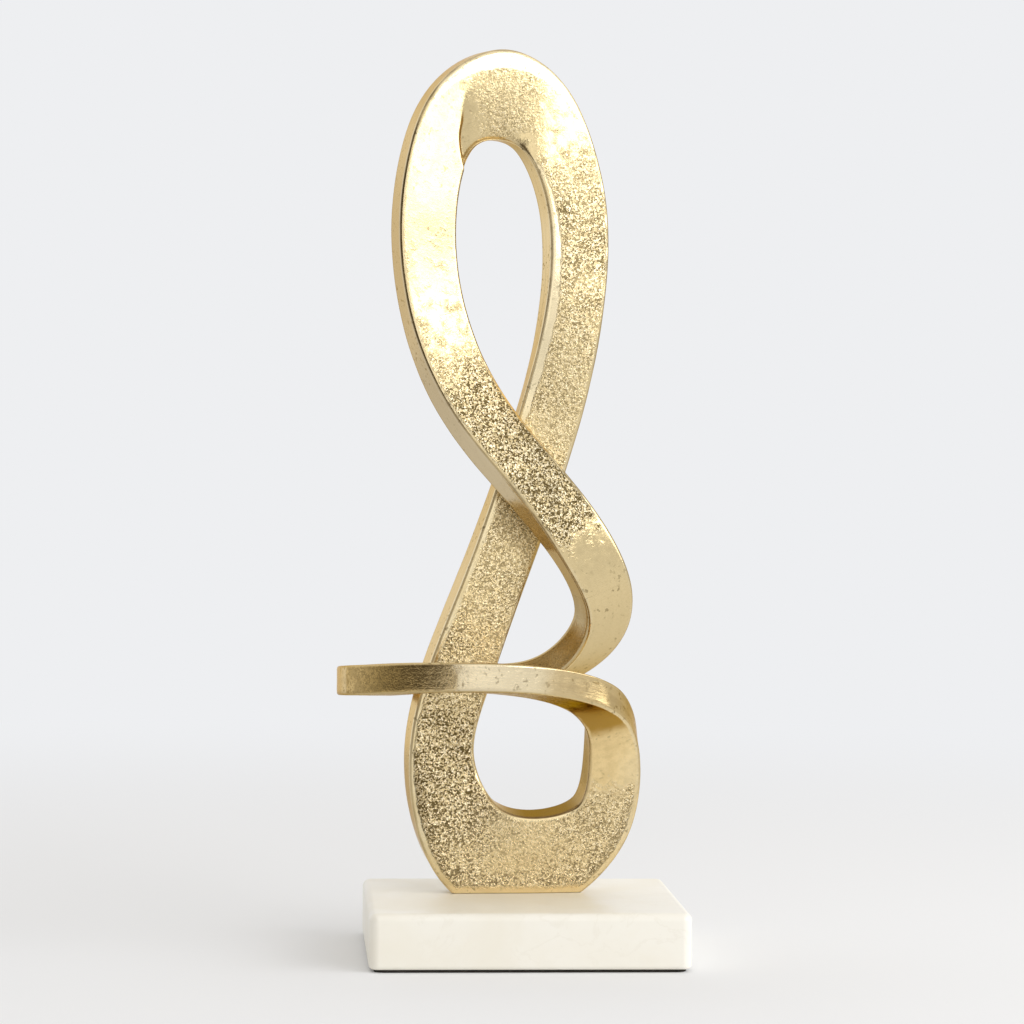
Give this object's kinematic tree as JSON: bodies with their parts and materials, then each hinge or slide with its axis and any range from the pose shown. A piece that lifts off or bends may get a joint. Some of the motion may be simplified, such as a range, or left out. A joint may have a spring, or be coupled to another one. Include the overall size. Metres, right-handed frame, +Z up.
{
  "type": "metal knot sculpture",
  "caption": "Gold-toned cast metal ribbon looped into an open knot, with a level ring round its leg, standing on a marble block as a tabletop ornament.",
  "frame": {"origin": "centre of the block's outline, on the surface that the felt rests on", "axes": "+Z up, +X to the right and -Y towards the viewer who faces the front of the knot"},
  "size_m": [0.1395, 0.102, 0.3655],
  "materials": {
    "gold_casting": "rough sand cast, gold toned, edges ground smooth",
    "marble": "honed, warm off-white",
    "steel": "zinc plated",
    "felt": "black felt"
  },
  "bodies": {
    "root": {"foot_casting": "gold_casting", "loop_casting": "gold_casting", "ring_casting": "gold_casting", "joint_dowels": "steel", "marble_base": "marble", "base_screws": "steel", "flat_washers": "steel", "spring_washers": "steel", "felt_pad": "felt"}
  },
  "joints": []
}
